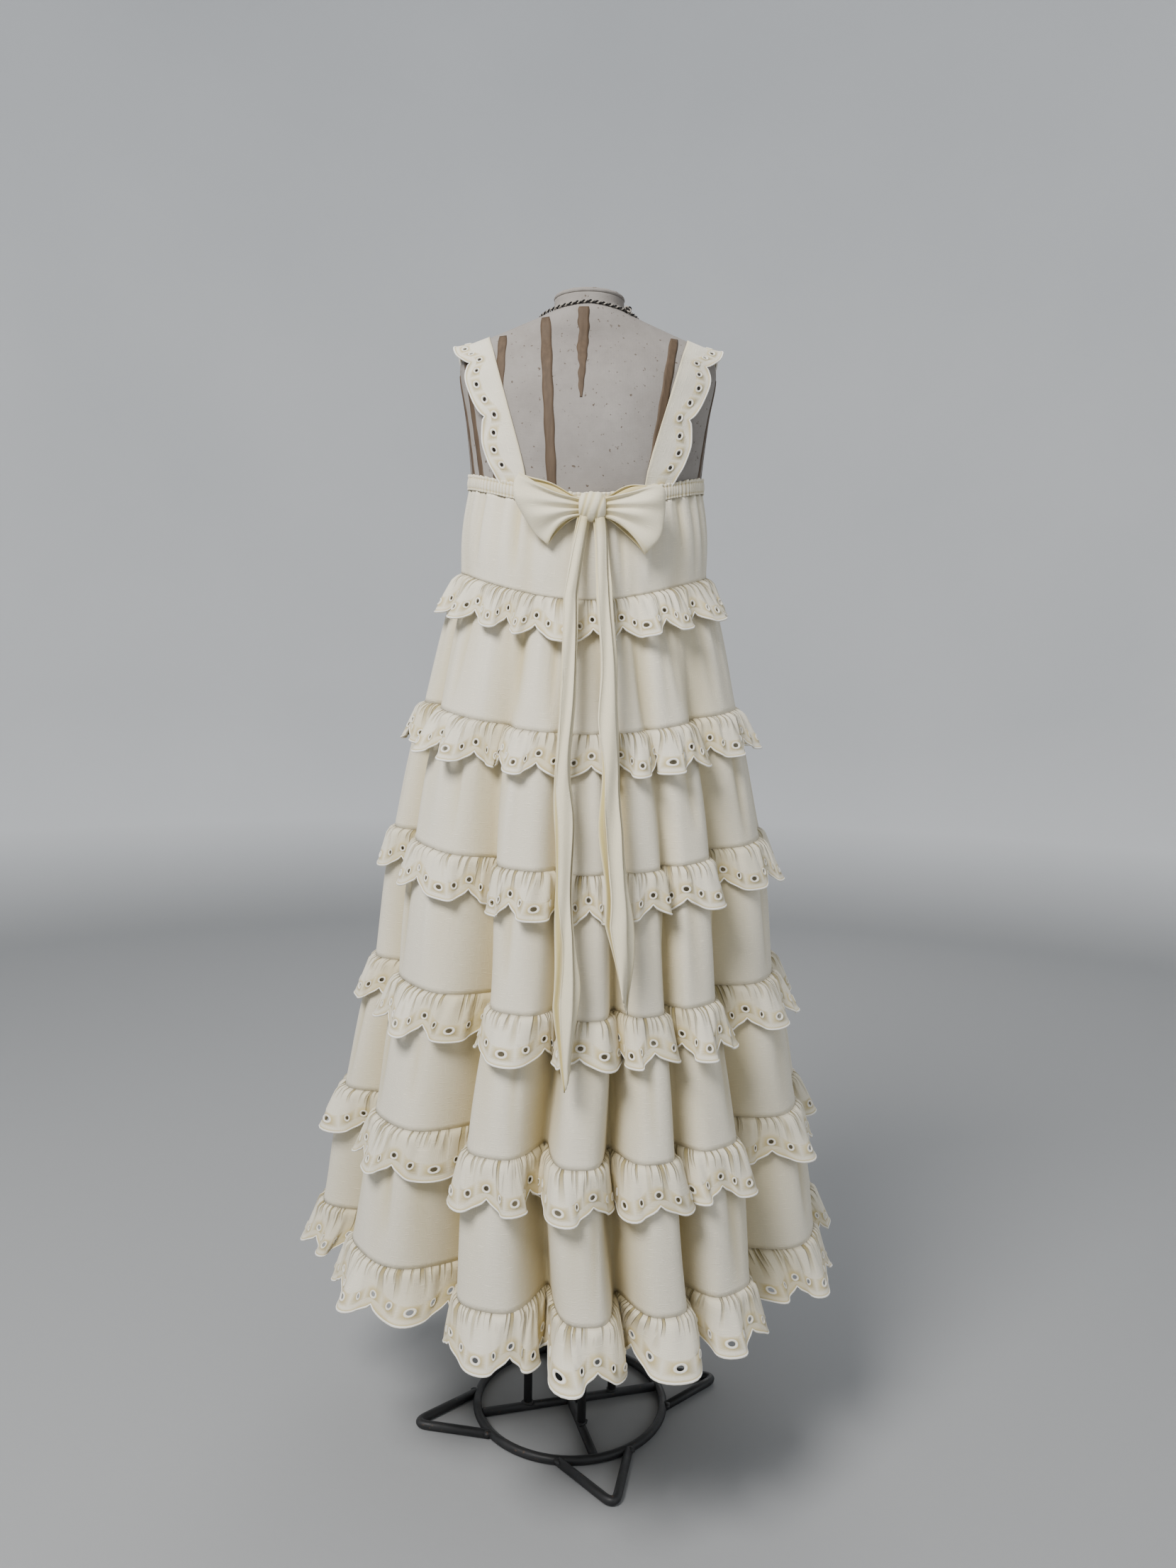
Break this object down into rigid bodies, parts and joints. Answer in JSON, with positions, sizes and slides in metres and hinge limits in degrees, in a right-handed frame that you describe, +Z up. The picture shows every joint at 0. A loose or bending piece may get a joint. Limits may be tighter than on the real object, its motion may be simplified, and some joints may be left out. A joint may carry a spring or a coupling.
{
  "type": "maxi dress on a dress form",
  "caption": "Cream tiered maxi dress with gathered ruffles and straps of scalloped eyelet border and a long sash bow at the back, on a limbless dress form with an iron stand.",
  "frame": {"origin": "middle of the underside of the stand's long cross bar, on the floor", "axes": "+Z up the figure; -Y is the side of the garment's back, which has the bow; +X is to the right as the back is seen"},
  "size_m": [0.7595, 0.737, 1.55],
  "materials": {
    "cream_cloth": "matt, slubbed cotton and linen plain weave",
    "sash_cloth": "matt, soft cotton plain weave, a little yellower",
    "form_canvas": "matt flecked canvas",
    "black_iron": "black paint, satin"
  },
  "bodies": {
    "root": {"bodice": "cream_cloth", "bow_knot": "sash_cloth", "bow_loop_left": "sash_cloth", "bow_loop_right": "sash_cloth", "bow_tail_left": "sash_cloth", "bow_tail_right": "sash_cloth", "form_neck_cap": "form_canvas", "form_torso": "form_canvas", "ruffle_1_left": "cream_cloth", "ruffle_1_right": "cream_cloth", "ruffle_2_left": "cream_cloth", "ruffle_2_right": "cream_cloth", "ruffle_3_left": "cream_cloth", "ruffle_3_right": "cream_cloth", "ruffle_4_left": "cream_cloth", "ruffle_4_right": "cream_cloth", "ruffle_5_left": "cream_cloth", "ruffle_5_right": "cream_cloth", "ruffle_6_left": "cream_cloth", "ruffle_6_right": "cream_cloth", "stand_cross_back": "black_iron", "stand_cross_front": "black_iron", "stand_cross_long": "black_iron", "stand_foot_back": "black_iron", "stand_foot_front": "black_iron", "stand_foot_left": "black_iron", "stand_foot_right": "black_iron", "stand_ring": "black_iron", "stand_rod_back": "black_iron", "stand_rod_front": "black_iron", "stand_rod_left": "black_iron", "stand_rod_right": "black_iron", "strap_left": "cream_cloth", "strap_right": "cream_cloth", "tier_1": "cream_cloth", "tier_2": "cream_cloth", "tier_3": "cream_cloth", "tier_4": "cream_cloth", "tier_5": "cream_cloth", "top_casing": "cream_cloth"}
  },
  "joints": []
}
